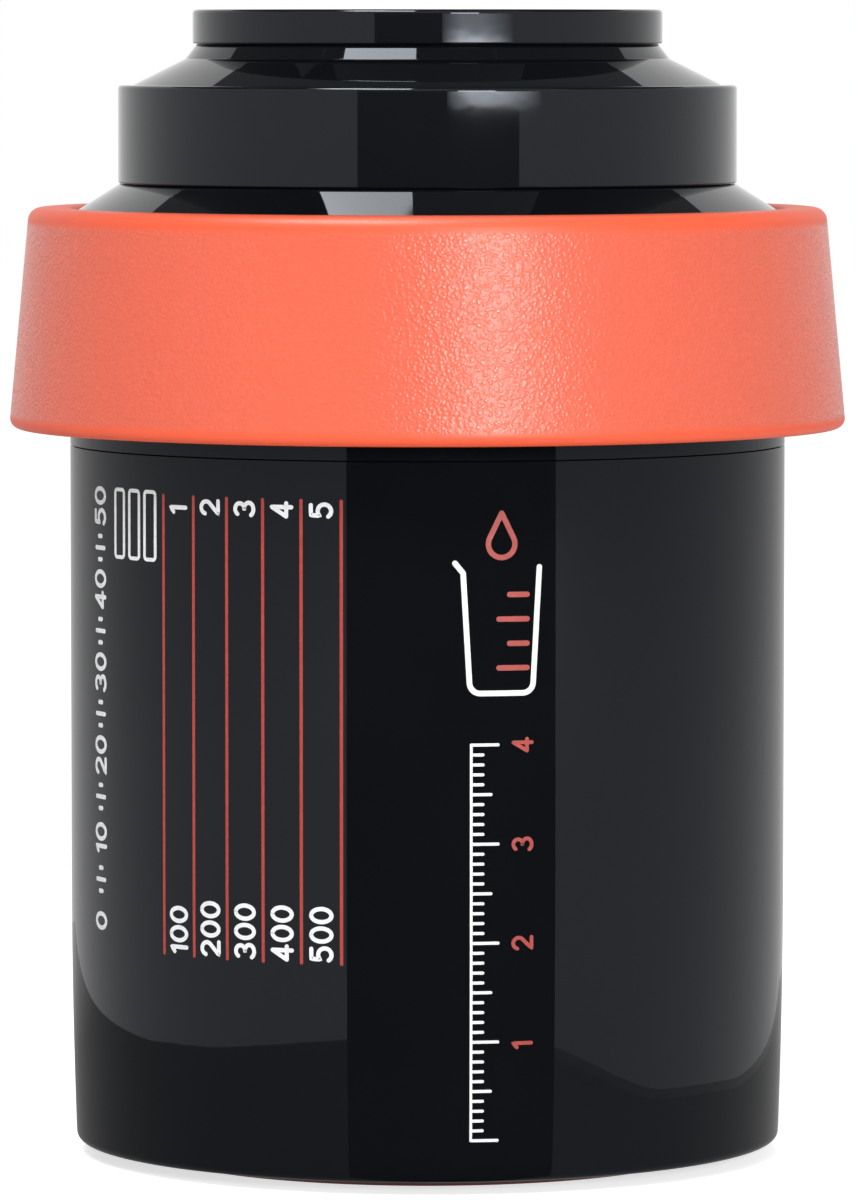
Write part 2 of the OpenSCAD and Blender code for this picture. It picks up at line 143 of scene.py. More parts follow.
def lathe(profile):
    """Grid (profile, turn) of a closed profile carried round the axis: (r cos a, r sin a, z)."""
    turn = np.linspace(0, 2 * np.pi, SEGMENTS, endpoint=False)
    r, z = profile[:, :1], profile[:, 1:]
    return np.stack([r * np.cos(turn), r * np.sin(turn), z + 0 * turn], axis=-1), True


def sector(r_in, r_out, z_low, z_high, start, sweep, steps=24):
    """A tube sector: its section's corners carried along an arc, (r cos a, r sin a, z), and two caps."""
    turn = np.radians(np.linspace(start, start + sweep, steps))
    r = np.array([r_in, r_out, r_out, r_in])[:, None]
    z = np.array([z_low, z_low, z_high, z_high])[:, None]
    return np.stack([r * np.cos(turn), r * np.sin(turn), z + 0 * turn], axis=-1), False


def grid_mesh(grid, closed):
    """Points and quads of a grid, closed the first way round, and closed or capped the other way."""
    rows, columns = grid.shape[:2]
    index = np.arange(rows * columns).reshape(rows, columns)
    right = np.roll(index, -1, axis=1) if closed else index[:, 1:]
    left = index if closed else index[:, :-1]
    up = np.roll(left, -1, axis=0), np.roll(right, -1, axis=0)
    quads = np.stack([left, right, up[1], up[0]], axis=-1).reshape(-1, 4).tolist()
    caps = [] if closed else [index[::-1, 0].tolist(), index[:, -1].tolist()]
    return grid.reshape(-1, 3), quads + caps


def piece(name, grids, material, body, nodes=()):
    """One object at the origin from one or more grids in millimetres, smooth-shaded, riding on a body."""
    points, faces, first = [], [], 0
    for grid, closed in grids:
        corner, quads = grid_mesh(grid, closed)
        points.append(corner)
        faces += [[first + i for i in quad] for quad in quads]
        first += len(corner)
    mesh = bpy.data.meshes.new(name)
    mesh.from_pydata((np.concatenate(points) * MM).tolist(), [], faces)
    shell = bmesh.new()
    shell.from_mesh(mesh)
    bmesh.ops.remove_doubles(shell, verts=shell.verts, dist=MERGE_DISTANCE)
    bmesh.ops.recalc_face_normals(shell, faces=shell.faces)
    shell.to_mesh(mesh)
    shell.free()
    mesh.shade_smooth()
    mesh.set_sharp_from_angle(angle=SHARP_ANGLE)
    mesh.materials.append(material)
    made = bpy.data.objects.new(name, mesh)
    bpy.context.scene.collection.objects.link(made)
    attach(made, body)
    if nodes:
        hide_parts(*nodes)


# Finishes

class Wire:
    """A shader socket that takes part in Python sums."""

    def __init__(self, graph, socket):
        self.graph = graph
        self.socket = socket

    def maths(self, operation, first, second):
        return self.graph.add("ShaderNodeMath", {"operation": operation}, {0: first, 1: second})

    def __add__(self, other):
        return self.maths("ADD", self, other)

    def __sub__(self, other):
        return self.maths("SUBTRACT", self, other)

    def __rsub__(self, other):
        return self.maths("SUBTRACT", other, self)

    def __mul__(self, other):
        return self.maths("MULTIPLY", self, other)

    __radd__ = __add__
    __rmul__ = __mul__

    def most(self, other):
        return self.maths("MAXIMUM", self, other)


class Graph:
    """The node tree of one finish or of the world."""

    def __init__(self, owner):
        owner.use_nodes = True
        self.tree = owner.node_tree
        self.tree.nodes.clear()

    def add(self, kind, settings=None, sockets=None, out=0):
        """A node with its settings and the values or links of its sockets; gives one of its outputs."""
        node = self.tree.nodes.new(kind)
        for key, value in (settings or {}).items():
            setattr(node, key, value)
        for key, value in (sockets or {}).items():
            if isinstance(value, Wire):
                self.tree.links.new(value.socket, node.inputs[key])
            else:
                node.inputs[key].default_value = value
        return Wire(self, node.outputs[out]) if node.outputs else None

    def place(self):
        """Where a surface point lies, in the object's own metres."""
        return self.add("ShaderNodeTexCoord", out="Object")

    def on_axis(self, axis):
        """Where a surface point lies along one of the object's axes."""
        return self.add("ShaderNodeSeparateXYZ", {}, {"Vector": self.place()}, out=axis)

    def noise(self, where, size, detail=2.0, rough=0.5, out=0):
        """Cloudy value from 0 to 1 with lumps of that size in millimetres."""
        return self.add("ShaderNodeTexNoise", {}, {
            "Vector": where, "Scale": 1 / (size * MM), "Detail": detail, "Roughness": rough}, out=out)

    def cells(self, where, size):
        """Distance to the nearest seed of a cell pattern with cells of that size in millimetres."""
        return self.add("ShaderNodeTexVoronoi", {"feature": "F1"}, {
            "Vector": where, "Scale": 1 / (size * MM)}, out="Distance")

    def pebbles(self, where, size, smooth):
        """The same distance with its ridges smoothed."""
        return self.add("ShaderNodeTexVoronoi", {"feature": "SMOOTH_F1"}, {
            "Vector": where, "Scale": 1 / (size * MM), "Smoothness": smooth}, out="Distance")

    def ramp(self, value, low, high):
        """0 at low, 1 at high, straight between and level past them."""
        return self.add("ShaderNodeMapRange", {"clamp": True}, {
            "Value": value, "From Min": low, "From Max": high})

    def colours(self, value, first, second):
        """From the first colour, where value is 0, to the second; each is a triple or a wire."""
        ends = [end if isinstance(end, Wire) else (*end, 1.0) for end in (first, second)]
        return self.add("ShaderNodeMix", {"data_type": "RGBA"}, {
            "Factor": value, 6: ends[0], 7: ends[1]}, out=2)

    def bump(self, height, depth):
        """Normals of a relief: height 0 to 1 times depth in millimetres."""
        return self.add("ShaderNodeBump", {}, {"Height": height, "Distance": depth * MM, "Strength": 1.0})


def finish(name, build, **constants):
    """A material: build(graph) gives what varies, constants are set on the shader's own sockets."""
    material = bpy.data.materials.new(name)
    graph = Graph(material)
    sockets = {key.replace("_", " "): value for key, value in constants.items()}
    sockets.update(build(graph))
    shader = graph.add("ShaderNodeBsdfPrincipled", {}, sockets)
    graph.add("ShaderNodeOutputMaterial", {}, {"Surface": shader})
    return material


def moulded(dark, pale, rough, haze, ripple, lump=14.0):
    """Moulded plastic: cloudy tone, handling haze in the gloss, faint flow ripple and a few dust nibs."""
    def build(g):
        where = g.place()
        cloud = g.noise(where, size=lump, detail=3.0)
        handled = g.ramp(g.noise(where, size=9.0, detail=4.0, rough=0.6), low=0.42, high=0.72)
        nibs = g.ramp(g.cells(where, size=3.4), low=0.05, high=0.02)
        flow = g.noise(where, size=2.6, detail=1.0)
        return {
            "Base Color": g.colours(cloud, dark, pale),
            "Roughness": rough + handled * haze + nibs * 0.12,
            "Normal": g.bump(flow + nibs * 0.6, depth=ripple)}
    return build


SKIN_FOOT = (RING_Z + 1.2) * MM, (RING_Z + 1.7) * MM
SKIN_TOP = (RING_TOP_Z - 1.5) * MM, (RING_TOP_Z - 2.1) * MM
SKIN_WANDER, SKIN_WANDER_SIZE = 0.0006, 1 / 1.1
# The deep skin tone serves both a random cloudy tone and the shade painted into the creases between pebbles.
SKIN_PALE, SKIN_DEEP_AND_CREASE_SHADE, SKIN_EDGE = (0.800, 0.147, 0.084), (0.715, 0.101, 0.050), (0.855, 0.108, 0.042)


def leather_grain(g):
    """Soft-touch skin: pebbles under half a millimetre with creases between them, their colour painted
    darker in the creases as painted shade, and smooth edges.
    """
    where = g.place()
    height = g.on_axis("Z")
    skirt = g.ramp(height, *SKIN_FOOT) * g.ramp(height, *SKIN_TOP)
    wander = g.noise(where, size=SKIN_WANDER_SIZE, out="Color")
    bent = g.add("ShaderNodeMix", {"data_type": "VECTOR"}, {
        "Factor": SKIN_WANDER, 4: where, 5: wander}, out=1)
    crease = g.ramp(g.pebbles(bent, size=0.42, smooth=0.3), low=0.2, high=0.7)
    fine = g.noise(where, size=0.22)
    cloud = g.noise(where, size=16.0)
    # Painted shade: the creases get a darker colour, mixed with a random cloudy tone of the skin.
    skin = g.colours(crease * 0.18 + cloud * 0.3 + 0.2, SKIN_PALE, SKIN_DEEP_AND_CREASE_SHADE)
    return {
        "Base Color": g.colours(skirt, SKIN_EDGE, skin),
        "Roughness": (0.19 + crease * 0.10) * skirt + (1 - skirt) * 0.42 + cloud * 0.06,
        "Normal": g.bump((1 - (crease * 0.75 + fine * 0.25)) * skirt, depth=0.042)}


def rubber(g):
    """Seal rubber: dull, with fine dust and a faint moulded stipple."""
    where = g.place()
    dust = g.noise(where, size=1.2, detail=4.0, rough=0.7)
    dusty = g.ramp(dust, low=0.5, high=0.8)
    return {
        "Base Color": g.colours(dusty, (0.016, 0.016, 0.017), (0.045, 0.043, 0.041)),
        "Roughness": 0.62 + dust * 0.2,
        "Normal": g.bump(g.noise(where, size=0.35, detail=1.0), depth=0.02)}


def sintered(g):
    """Pressed ferrite: dark grey grit with small pale chips."""
    where = g.place()
    grit = g.noise(where, size=0.5, detail=4.0, rough=0.7)
    chips = g.ramp(g.cells(where, size=1.1), low=0.12, high=0.06)
    return {
        "Base Color": g.colours(grit * 0.7 + chips * 0.5, (0.020, 0.020, 0.022), (0.085, 0.085, 0.090)),
        "Roughness": 0.46 + grit * 0.2,
        "Normal": g.bump(grit, depth=0.03)}


def ink(full, thin):
    """Screen-printed ink: slightly uneven cover with a faint relief."""
    def build(g):
        cover = g.noise(g.place(), size=0.6, detail=3.0, rough=0.6)
        return {
            "Base Color": g.colours(g.ramp(cover, low=0.35, high=0.75), full, thin),
            "Roughness": 0.34 + cover * 0.16,
            "Normal": g.bump(cover, depth=0.006)}
    return build


black_gloss = finish(
    "black_gloss_plastic",
    moulded((0.0030, 0.0035, 0.0046), (0.0046, 0.0053, 0.0066), rough=0.020, haze=0.007, ripple=0.0012),
    Specular_IOR_Level=0.30, Specular_Tint=(0.84, 0.90, 1.0, 1.0))
black_satin = finish(
    "black_satin_plastic",
    moulded((0.0080, 0.0082, 0.0088), (0.0130, 0.0132, 0.0138), rough=0.30, haze=0.10, ripple=0.02,
            lump=8.0),
    Specular_IOR_Level=0.40)
coral_skin = finish("coral_soft_touch", leather_grain, Specular_IOR_Level=0.37)
base_red = finish(
    "base_red_plastic",
    moulded((0.30, 0.030, 0.022), (0.38, 0.042, 0.030), rough=0.28, haze=0.12, ripple=0.015, lump=8.0))
tab_red = finish(
    "tab_red_plastic",
    moulded((0.55, 0.060, 0.040), (0.62, 0.075, 0.050), rough=0.30, haze=0.10, ripple=0.015, lump=5.0))
reel_ivory = finish(
    "reel_ivory_nylon",
    moulded((0.66, 0.63, 0.54), (0.74, 0.71, 0.62), rough=0.34, haze=0.14, ripple=0.02, lump=11.0),
    Subsurface_Weight=0.08, Subsurface_Scale=0.001)
seal_rubber = finish("seal_rubber", rubber, Specular_IOR_Level=0.35)
ferrite = finish("ferrite_grey", sintered)
print_white = finish("print_white_ink", ink((0.86, 0.87, 0.88), (0.74, 0.75, 0.76)))
print_red = finish("print_red_ink", ink((0.42, 0.046, 0.034), (0.34, 0.033, 0.025)))


# Tank, lid, ring and cap as fine lathe surfaces

def tank_profile():
    """Outside up the drawn-in wall to the rim bead, inside down to the gutter, over the raised seat, and the
    recess under it."""
    rise = np.linspace(FOOT_Z + FOOT_ROUND + ROWS_START, DRAW_Z, WALL_ROWS)
    outside = np.stack([wall_r(rise), rise], axis=-1)
    bore = np.linspace(DRAW_Z, GUTTER_Z + FOOT_ROUND, BORE_ROWS)
    inside = np.stack([wall_r(bore) - TANK_WALL, bore], axis=-1)
    foot = outline((RECESS_R, FOOT_Z), (wall_r(FOOT_Z), FOOT_Z, FOOT_ROUND), (wall_r(DRAW_Z), DRAW_Z))[:-1]
    line = [(TANK_R, LINE_Z - LINE_W / 2), (TANK_R - LINE_DEPTH, LINE_Z), (TANK_R, LINE_Z + LINE_W / 2)]
    bead = outline((TANK_R, RIM_Z - BEAD_H - BEAD_OUT), (RIM_R, RIM_Z - BEAD_H, BEAD_ROUND),
                   (RIM_R, RIM_Z, EDGE), (TANK_R - TANK_WALL, RIM_Z, EDGE))
    floor = outline((wall_r(GUTTER_Z) - TANK_WALL - FOOT_ROUND, GUTTER_Z),
                    (PILLAR_R, GUTTER_Z, RECESS_ROUND), (PILLAR_R, SEAT_Z, PILLAR_ROUND),
                    (0, SEAT_Z), (0, RECESS_Z),
                    (RECESS_R, RECESS_Z, RECESS_ROUND), (RECESS_R, FOOT_Z))[:-1]
    return np.concatenate([foot, outside, line, bead, inside, floor])


def ring_profile():
    """Flared skirt with rounded top and foot, lip over the lid, and the snap bead inside."""
    return outline((RING_FOOT_R, RING_Z, RING_FOOT_ROUND), (RING_TOP_R, RING_TOP_Z, RING_TOP_ROUND),
                   (LIP_R, RING_TOP_Z, LIP_ROUND), (LIP_R, RING_TOP_Z - LIP_H),
                   (RING_BORE_R, RING_TOP_Z - LIP_H, FINE_EDGE), (RING_BORE_R, SNAP_TOP_Z),
                   (SNAP_R, SNAP_TOP_Z, CRISP_EDGE), (SNAP_R, SNAP_Z, FINE_EDGE),
                   (RING_BORE_R, SNAP_FOOT_Z), (RING_FOOT_R - RING_WALL, RING_Z, RING_INNER_ROUND))


def lid_profile():
    """Plug, flange, shoulder cone, ledge and neck of the lid, then back down under the shoulder."""
    return outline((PLUG_IN_R, PLUG_Z, EDGE), (PLUG_R, PLUG_Z, EDGE), (PLUG_R, FLANGE_Z),
                   (FLANGE_R, FLANGE_Z, EDGE), (FLANGE_R, FLANGE_TOP_Z, FLANGE_ROUND),
                   (SHOULDER_R, FLANGE_TOP_Z), (SHOULDER_R, SHOULDER_Z, EDGE),
                   (LEDGE_R, LEDGE_Z, LEDGE_ROUND), (NECK_R, LEDGE_Z, CRISP_EDGE),
                   (NECK_R, NECK_TOP_Z, FINE_EDGE), (NECK_IN_R, NECK_TOP_Z, FINE_EDGE),
                   (NECK_IN_R, ROOF_TOP_Z), (ROOF_R, ROOF_Z, ROOF_ROUND), (PLUG_IN_R, PLUG_TOP_Z))


def cap_profile():
    """Band, step, cone, steep facet up to the waist and dished disc of the pour cap, then its hollow."""
    return outline((BAND_IN_R, BAND_Z, FINE_EDGE), (BAND_R, BAND_Z, FINE_EDGE),
                   (BAND_R, STEP_Z, BRIM_ROUND), (STEP_R, STEP_Z, CRISP_EDGE),
                   (FACET_R, FACET_Z, EDGE), (WAIST_R, DISC_Z),
                   (DISC_R, DISC_Z, FINE_EDGE), (DISC_R, CAP_TOP_Z, BRIM_ROUND), (DISH_R, CAP_TOP_Z, EDGE),
                   (DISH_FLOOR_R, CAP_TOP_Z - DISH_DEPTH, EDGE), (0, CAP_TOP_Z - DISH_DEPTH),
                   (0, CAP_TOP_Z - HOLLOW_DEPTH), (HOLLOW_R, CAP_TOP_Z - HOLLOW_DEPTH, HOLLOW_ROUND),
                   (HOLLOW_R, HOLLOW_Z), (CONE_IN_R, CONE_IN_Z), (BAND_IN_R, CONE_IN_Z))


def locators():
    """Ribs on the tank's seat that hold the core, with gaps between them for the liquid."""
    share = 360 / LOCATORS
    return [sector(LOCATOR_R, LOCATOR_R + TANK_WALL, SEAT_Z - LOCATOR_SUNK, SEAT_Z + LOCATOR_H,
                   turn * share + LOCATOR_HALF_GAP, share - 2 * LOCATOR_HALF_GAP)
            for turn in range(LOCATORS)]


piece("tank_shell", [lathe(tank_profile()), *locators()], black_gloss, "tank", ["tank_body"])
piece("ring_skin", [lathe(ring_profile())], coral_skin, "ring", ["clamp_ring"])
piece("lid_moulding", [lathe(lid_profile())], black_gloss, "lid", ["lid_shell"])
piece("cap_moulding", [lathe(cap_profile())], black_gloss, "cap", ["pour_cap"])

# Pieces that keep their CAD meshes
CARRIED = {
    "drive_base": base_red, "ring_magnet": ferrite, "magnet_cover": black_gloss,
    "core_tube": black_satin, "pour_funnel": black_satin, "lid_seal": seal_rubber,
    "lower_film_tab": tab_red, "lower_reel_base": reel_ivory, "lower_reel_top": reel_ivory,
    "upper_film_tab": tab_red, "upper_reel_base": reel_ivory, "upper_reel_top": reel_ivory}
for node, material in CARRIED.items():
    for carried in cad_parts[node].material_slots:
        carried.material = material


# Prints on the tank: strokes on the unrolled wall, u along the wall from the front middle and v as height

INK_PROUD, INK_SUNK = 0.03, 0.05
STROKE_STEP, STROKE_END_POINTS, HEADING_REACH = 0.35, 6, 0.02


def stroke(path, width):
    """A pen stroke: the path is resampled, its half width follows a half circle past both ends, and its
    flat section is wrapped on the wall: (r sin(u / R), -r cos(u / R), v)."""
    path = np.asarray(path, float)
    lengths = np.concatenate([[0], np.cumsum(np.linalg.norm(np.diff(path, axis=0), axis=1))])
    total, half = lengths[-1], width / 2
    ends = half * (1 - np.cos(np.linspace(0, np.pi / 2, STROKE_END_POINTS)))
    inner = np.union1d(np.linspace(0, total, max(2, int(total / STROKE_STEP))), lengths)
    travel = np.concatenate([ends - half, inner[1:-1], total + half - ends[::-1]])
    inside = np.clip(travel, 0, total)

    def on_path(distance):
        distance = np.clip(distance, 0, total)
        return np.stack([np.interp(distance, lengths, path[:, i]) for i in range(2)], axis=-1)

    heading = on_path(inside + HEADING_REACH) - on_path(inside - HEADING_REACH)
    heading /= np.linalg.norm(heading, axis=1)[:, None]
    past = travel - inside
    centre = on_path(inside) + heading * past[:, None]
    wide = np.sqrt(np.maximum(half ** 2 - past ** 2, 0))[:, None]
    across = np.stack([-heading[:, 1], heading[:, 0]], axis=-1) * wide
    left, right = centre - across, centre + across
    u, v = np.moveaxis(np.stack([left, right, right, left]), -1, 0)
    lift = np.array([INK_PROUD, INK_PROUD, -INK_SUNK, -INK_SUNK])[:, None]
    r, turn = wall_r(v) + lift, u / TANK_R
    return np.stack([r * np.sin(turn), -r * np.cos(turn), v], axis=-1), False


def arc(x, y, rx, ry, start, end, steps=17):
    """Points of an elliptic arc, angles in degrees: (x + rx cos a, y + ry sin a)."""
    a = np.radians(np.linspace(start, end, steps))
    return np.stack([x + rx * np.cos(a), y + ry * np.sin(a)], axis=-1)


def joined(*parts):
    """One path from points and arcs."""
    return np.concatenate([np.atleast_2d(np.asarray(part, float)) for part in parts])


# Monoline digits in a box one unit high
DIGITS = {
    "0": [arc(0.31, 0.5, 0.31, 0.5, 90, 450, steps=33)],
    "1": [joined((0.02, 0.78), (0.24, 1.0), (0.24, 0.0))],
    "2": [joined(arc(0.30, 0.70, 0.29, 0.30, 165, -38), (0.02, 0.0), (0.62, 0.0))],
    "3": [joined(arc(0.29, 0.745, 0.27, 0.255, 150, -90), arc(0.29, 0.255, 0.31, 0.255, 90, -150))],
    "4": [joined((0.62, 0.26), (0.0, 0.26)), joined((0.0, 0.26), (0.44, 1.0)),
          joined((0.44, 1.0), (0.44, 0.0))],
    "5": [joined((0.56, 1.0), (0.10, 1.0), (0.06, 0.55), arc(0.29, 0.33, 0.31, 0.33, 130, -145))]}
DIGIT_WIDTH, NARROW, DIGIT_SPACE = 0.62, {"1": 0.26}, 0.30


def advance(digit):
    """From the start of one digit to the start of the next."""
    return NARROW.get(digit, DIGIT_WIDTH) + DIGIT_SPACE


def text_length(text, height):
    """Length of a row of digits without the space after the last."""
    return height * (sum(advance(digit) for digit in text) - DIGIT_SPACE)


def number(text, u, v, height, pen):
    """Digits that read upwards: the digit's right is up the wall, and its top points to the left."""
    made, x = [], 0.0
    for digit in text:
        for path in DIGITS[digit]:
            wall = np.stack([u - path[:, 1] * height, v + (x + path[:, 0]) * height], axis=-1)
            made.append(stroke(wall, pen))
        x += advance(digit)
    return made


def rounded_box(u, v, wide, high, rounding):
    """Closed path of a rounded rectangle about (u, v)."""
    a, b = wide / 2 - rounding, high / 2 - rounding
    corners = [arc(u + a * side, v + b * end, rounding, rounding, start, start + 90, steps=7)
               for side, end, start in ((1, 1, 0), (-1, 1, 90), (-1, -1, 180), (1, -1, 270))]
    return joined(*corners, (u + wide / 2, v + b))


def at(degrees):
    """Distance along the wall from the front middle: angle times radius."""
    return math.radians(degrees) * TANK_R


white, red = [], []

# Chart: six red rules with plain numbers between them, small at the top and round hundreds at the foot
RULE_FIRST, RULE_LAST, RULE_COUNT = -45.9, -13.4, 6
RULES = np.linspace(RULE_FIRST, RULE_LAST, RULE_COUNT)
RULE_LOW, RULE_HIGH, RULE_PEN = 25.8, 77.1, 0.38
COUNT_V, HUNDRED_V = 75.3, 26.1
CHART_DIGIT_H, CHART_PEN = 2.35, 0.48
for rule in RULES:
    red.append(stroke([(at(rule), RULE_LOW), (at(rule), RULE_HIGH)], RULE_PEN))
for count, middle in enumerate((RULES[:-1] + RULES[1:]) / 2, start=1):
    u = at(middle) + CHART_DIGIT_H / 2
    white += number(str(count), u, COUNT_V, CHART_DIGIT_H, CHART_PEN)
    white += number(f"{count}00", u, HUNDRED_V, CHART_DIGIT_H, CHART_PEN)

# Ruler beside the chart: plain numbers in tens with small marks between them
RULER_U, RULER_LOW = at(-62.4), 28.3
RULER_STEP, RULER_NUMBERS = 9.4, 6
RULER_DIGIT_H, RULER_PEN = 2.6, 0.5
RULER_MARKS = {0.36: 0.35, 0.5: 1.1, 0.64: 0.35}
for count in range(RULER_NUMBERS):
    v = RULER_LOW + count * RULER_STEP
    tens = str(count * 10)
    white += number(tens, RULER_U, v - text_length(tens, RULER_DIGIT_H) / 2, RULER_DIGIT_H, RULER_PEN)
    if count == RULER_NUMBERS - 1:
        break
    for share, reach in RULER_MARKS.items():
        mark_u, mark_v = RULER_U - RULER_DIGIT_H / 2, v + RULER_STEP * share
        white.append(stroke([(mark_u - reach, mark_v), (mark_u + reach, mark_v)], RULER_PEN))

# Three frames beside the chart's upper end
FRAME_TURNS = -57.5, -53.3, -49.2
FRAME_V, FRAME_W, FRAME_H = 73.6, 1.9, 7.6
FRAME_ROUND, FRAME_PEN = 0.4, 0.42
for turn in FRAME_TURNS:
    white.append(stroke(rounded_box(at(turn), FRAME_V, FRAME_W, FRAME_H, FRAME_ROUND), FRAME_PEN))

# Measuring jug with red level marks and a drop over it
JUG_U, JUG_HALF = at(11.5), 4.3
JUG_LOW, JUG_HIGH = 55.9, 69.8
JUG_TAPER, JUG_ROUND, JUG_PEN = 0.7, 1.2, 0.62
SPOUT_OUT, SPOUT_UP, SPOUT_DOWN = 0.9, 0.5, 0.6
JUG_LEFT, JUG_RIGHT = JUG_U - JUG_HALF, JUG_U + JUG_HALF
BEND_IN, BEND_V = JUG_TAPER + JUG_ROUND, JUG_LOW + JUG_ROUND
white.append(stroke(joined(
    (JUG_LEFT - SPOUT_OUT, JUG_HIGH + SPOUT_UP), (JUG_LEFT, JUG_HIGH - SPOUT_DOWN),
    arc(JUG_LEFT + BEND_IN, BEND_V, JUG_ROUND, JUG_ROUND, 180, 270, steps=7),
    arc(JUG_RIGHT - BEND_IN, BEND_V, JUG_ROUND, JUG_ROUND, 270, 360, steps=7),
    (JUG_RIGHT, JUG_HIGH)), JUG_PEN))
LEVEL_LOW, LEVEL_STEP = JUG_LOW + 2.8, 2.7
LEVEL_START, LEVEL_END, LEVEL_PEN = 1.2, 1.4, 0.6
LEVEL_REACHES = 3.4, 2.2, 3.4, 2.2
for level, reach in enumerate(LEVEL_REACHES):
    v = LEVEL_LOW + level * LEVEL_STEP
    red.append(stroke([(JUG_RIGHT - LEVEL_START - reach, v), (JUG_RIGHT - LEVEL_END, v)], LEVEL_PEN))
DROP_V, DROP_R = JUG_HIGH + 2.6, 1.5
DROP_TIP, DROP_PEN = 3.4, 0.6
drop_tip = JUG_U, DROP_V + DROP_TIP
drop_round = arc(JUG_U, DROP_V, DROP_R, DROP_R, 150, 390, steps=21)
red.append(stroke(joined(drop_tip, drop_round, drop_tip), DROP_PEN))

# Graduated scale under the jug
SCALE_U, SCALE_LOW = at(9.0) - 1.6, 6.2
SCALE_STEP, SCALE_MARKS = 1.1, 41
SCALE_PEN, MARK_PEN = 0.3, 0.34
LONG_MARK, HALF_MARK, SHORT_MARK = 3.0, 2.2, 1.3
SCALE_DIGIT_U, SCALE_DIGIT_DOWN = at(16.3), 0.7
SCALE_DIGIT_H, SCALE_DIGIT_PEN = 2.1, 0.42
SCALE_TOP = SCALE_LOW + SCALE_STEP * (SCALE_MARKS - 1)
white.append(stroke([(SCALE_U, SCALE_LOW), (SCALE_U, SCALE_TOP)], SCALE_PEN))
for mark in range(SCALE_MARKS):
    reach = LONG_MARK if mark % 10 == 0 else HALF_MARK if mark % 5 == 0 else SHORT_MARK
    v = SCALE_LOW + mark * SCALE_STEP
    white.append(stroke([(SCALE_U, v), (SCALE_U + reach, v)], MARK_PEN))
    if mark and mark % 10 == 0:
        red += number(str(mark // 10), SCALE_DIGIT_U, v - SCALE_DIGIT_DOWN, SCALE_DIGIT_H, SCALE_DIGIT_PEN)

piece("tank_print_white", white, print_white, "tank")
piece("tank_print_red", red, print_red, "tank")


# Studio, in metres: pale floor, white surroundings, lamps, and what only reflections see

CAMERA_Y, CAMERA_Z, CAMERA_TILT = -0.964, 0.130, 3.95
LENS, SENSOR, SIGHT_END = 252.0, 36.0, 100.0
MIDDLE = (0.0, 0.0, 0.11)
WHITE = (1.0, 1.0, 1.0)
FLOOR_R, FLOOR_POINTS = 3.2, 64
FLOOR_GLOW, FLOOR_MIRRORED, AMBIENT = 0.68, 0.60, 0.37
FLOOR_PALE, FLOOR_GREY = (0.90, 0.90, 0.90), (0.32, 0.32, 0.33)


def stage_mesh(name, points, faces, material):
    """A studio object from corner points in metres."""
    mesh = bpy.data.meshes.new(name)
    mesh.from_pydata([tuple(p) for p in points], [], faces)
    mesh.materials.append(material)
    made = bpy.data.objects.new(name, mesh)
    bpy.context.scene.collection.objects.link(made)
    return made


def reflected_only(made):
    """Hide a studio object from everything but reflections."""
    made.visible_camera = False
    made.visible_diffuse = False
    made.visible_shadow = False
    made.visible_transmission = False


def seen_rays(g, mirrored=1.0):
    """1 for camera rays, mirrored for glossy and transmission rays, and 0 for all others."""
    camera, glossy, through = (g.add("ShaderNodeLightPath", out=f"Is {ray} Ray") for ray in (
        "Camera", "Glossy", "Transmission"))
    return camera.most(glossy.most(through) * mirrored)


def floor_finish():
    """Pale floor that glows where it is seen, so that it runs into the white, and that mirrors as grey."""
    material = bpy.data.materials.new("studio_floor")
    g = Graph(material)
    speck = g.noise(g.place(), size=40.0) * 0.03
    mirrored = g.add("ShaderNodeLightPath", out="Is Glossy Ray")
    shader = g.add("ShaderNodeBsdfPrincipled", {}, {
        "Base Color": g.colours(speck + mirrored * 0.9, FLOOR_PALE, FLOOR_GREY), "Roughness": 0.9,
        "Specular IOR Level": 0.0, "Emission Color": (*WHITE, 1.0),
        "Emission Strength": seen_rays(g, FLOOR_MIRRORED) * FLOOR_GLOW})
    g.add("ShaderNodeOutputMaterial", {}, {"Surface": shader})
    return material


def white_world():
    """White where the surroundings are seen or mirrored, dimmer as a light."""
    world = bpy.data.worlds.new("studio")
    bpy.context.scene.world = world
    g = Graph(world)
    g.add("ShaderNodeOutputWorld", {}, {"Surface": g.add("ShaderNodeBackground", {}, {
        "Color": (*WHITE, 1.0), "Strength": AMBIENT + seen_rays(g) * (1 - AMBIENT)})})


def card(name, strength, least=1.0, fade=None):
    """A glowing surface: the least share of its strength where fade(graph) is 0, and all of it where fade
    is 1 or none is given."""
    material = bpy.data.materials.new(name)
    g = Graph(material)
    tone = g.colours(fade(g), (least,) * 3, WHITE) if fade else (*WHITE, 1.0)
    g.add("ShaderNodeOutputMaterial", {}, {"Surface": g.add("ShaderNodeEmission", {}, {
        "Color": tone, "Strength": strength})})
    return material


def round_the_object(azimuth, elevation, out):
    """out (sin a cos e, -cos a cos e, sin e) from the object's middle; azimuth 0 is the camera's side."""
    a, e = math.radians(azimuth), math.radians(elevation)
    return out * math.sin(a) * math.cos(e), -out * math.cos(a) * math.cos(e), MIDDLE[2] + out * math.sin(e)


floor_turn = np.linspace(0, 2 * np.pi, FLOOR_POINTS, endpoint=False)
floor_rim = np.stack([FLOOR_R * np.cos(floor_turn), FLOOR_R * np.sin(floor_turn), 0 * floor_turn], axis=-1)
stage_mesh("studio_floor", floor_rim, [list(range(FLOOR_POINTS))], floor_finish())
white_world()


# Flags for the dark column in the middle of the wall: angles of its sides, and how bright each flag is
COLUMN_LEFT, COLUMN_RIGHT, COLUMN_RIGHT_UP = -12.6, 20.2, 16.6
FLAG_FAR, FLAG_Z, FLAG_TOP = 3.2, 0.0008, 0.6
FLAG_GLOW, BACK_FLAG_GLOW = 0.045, 0.18


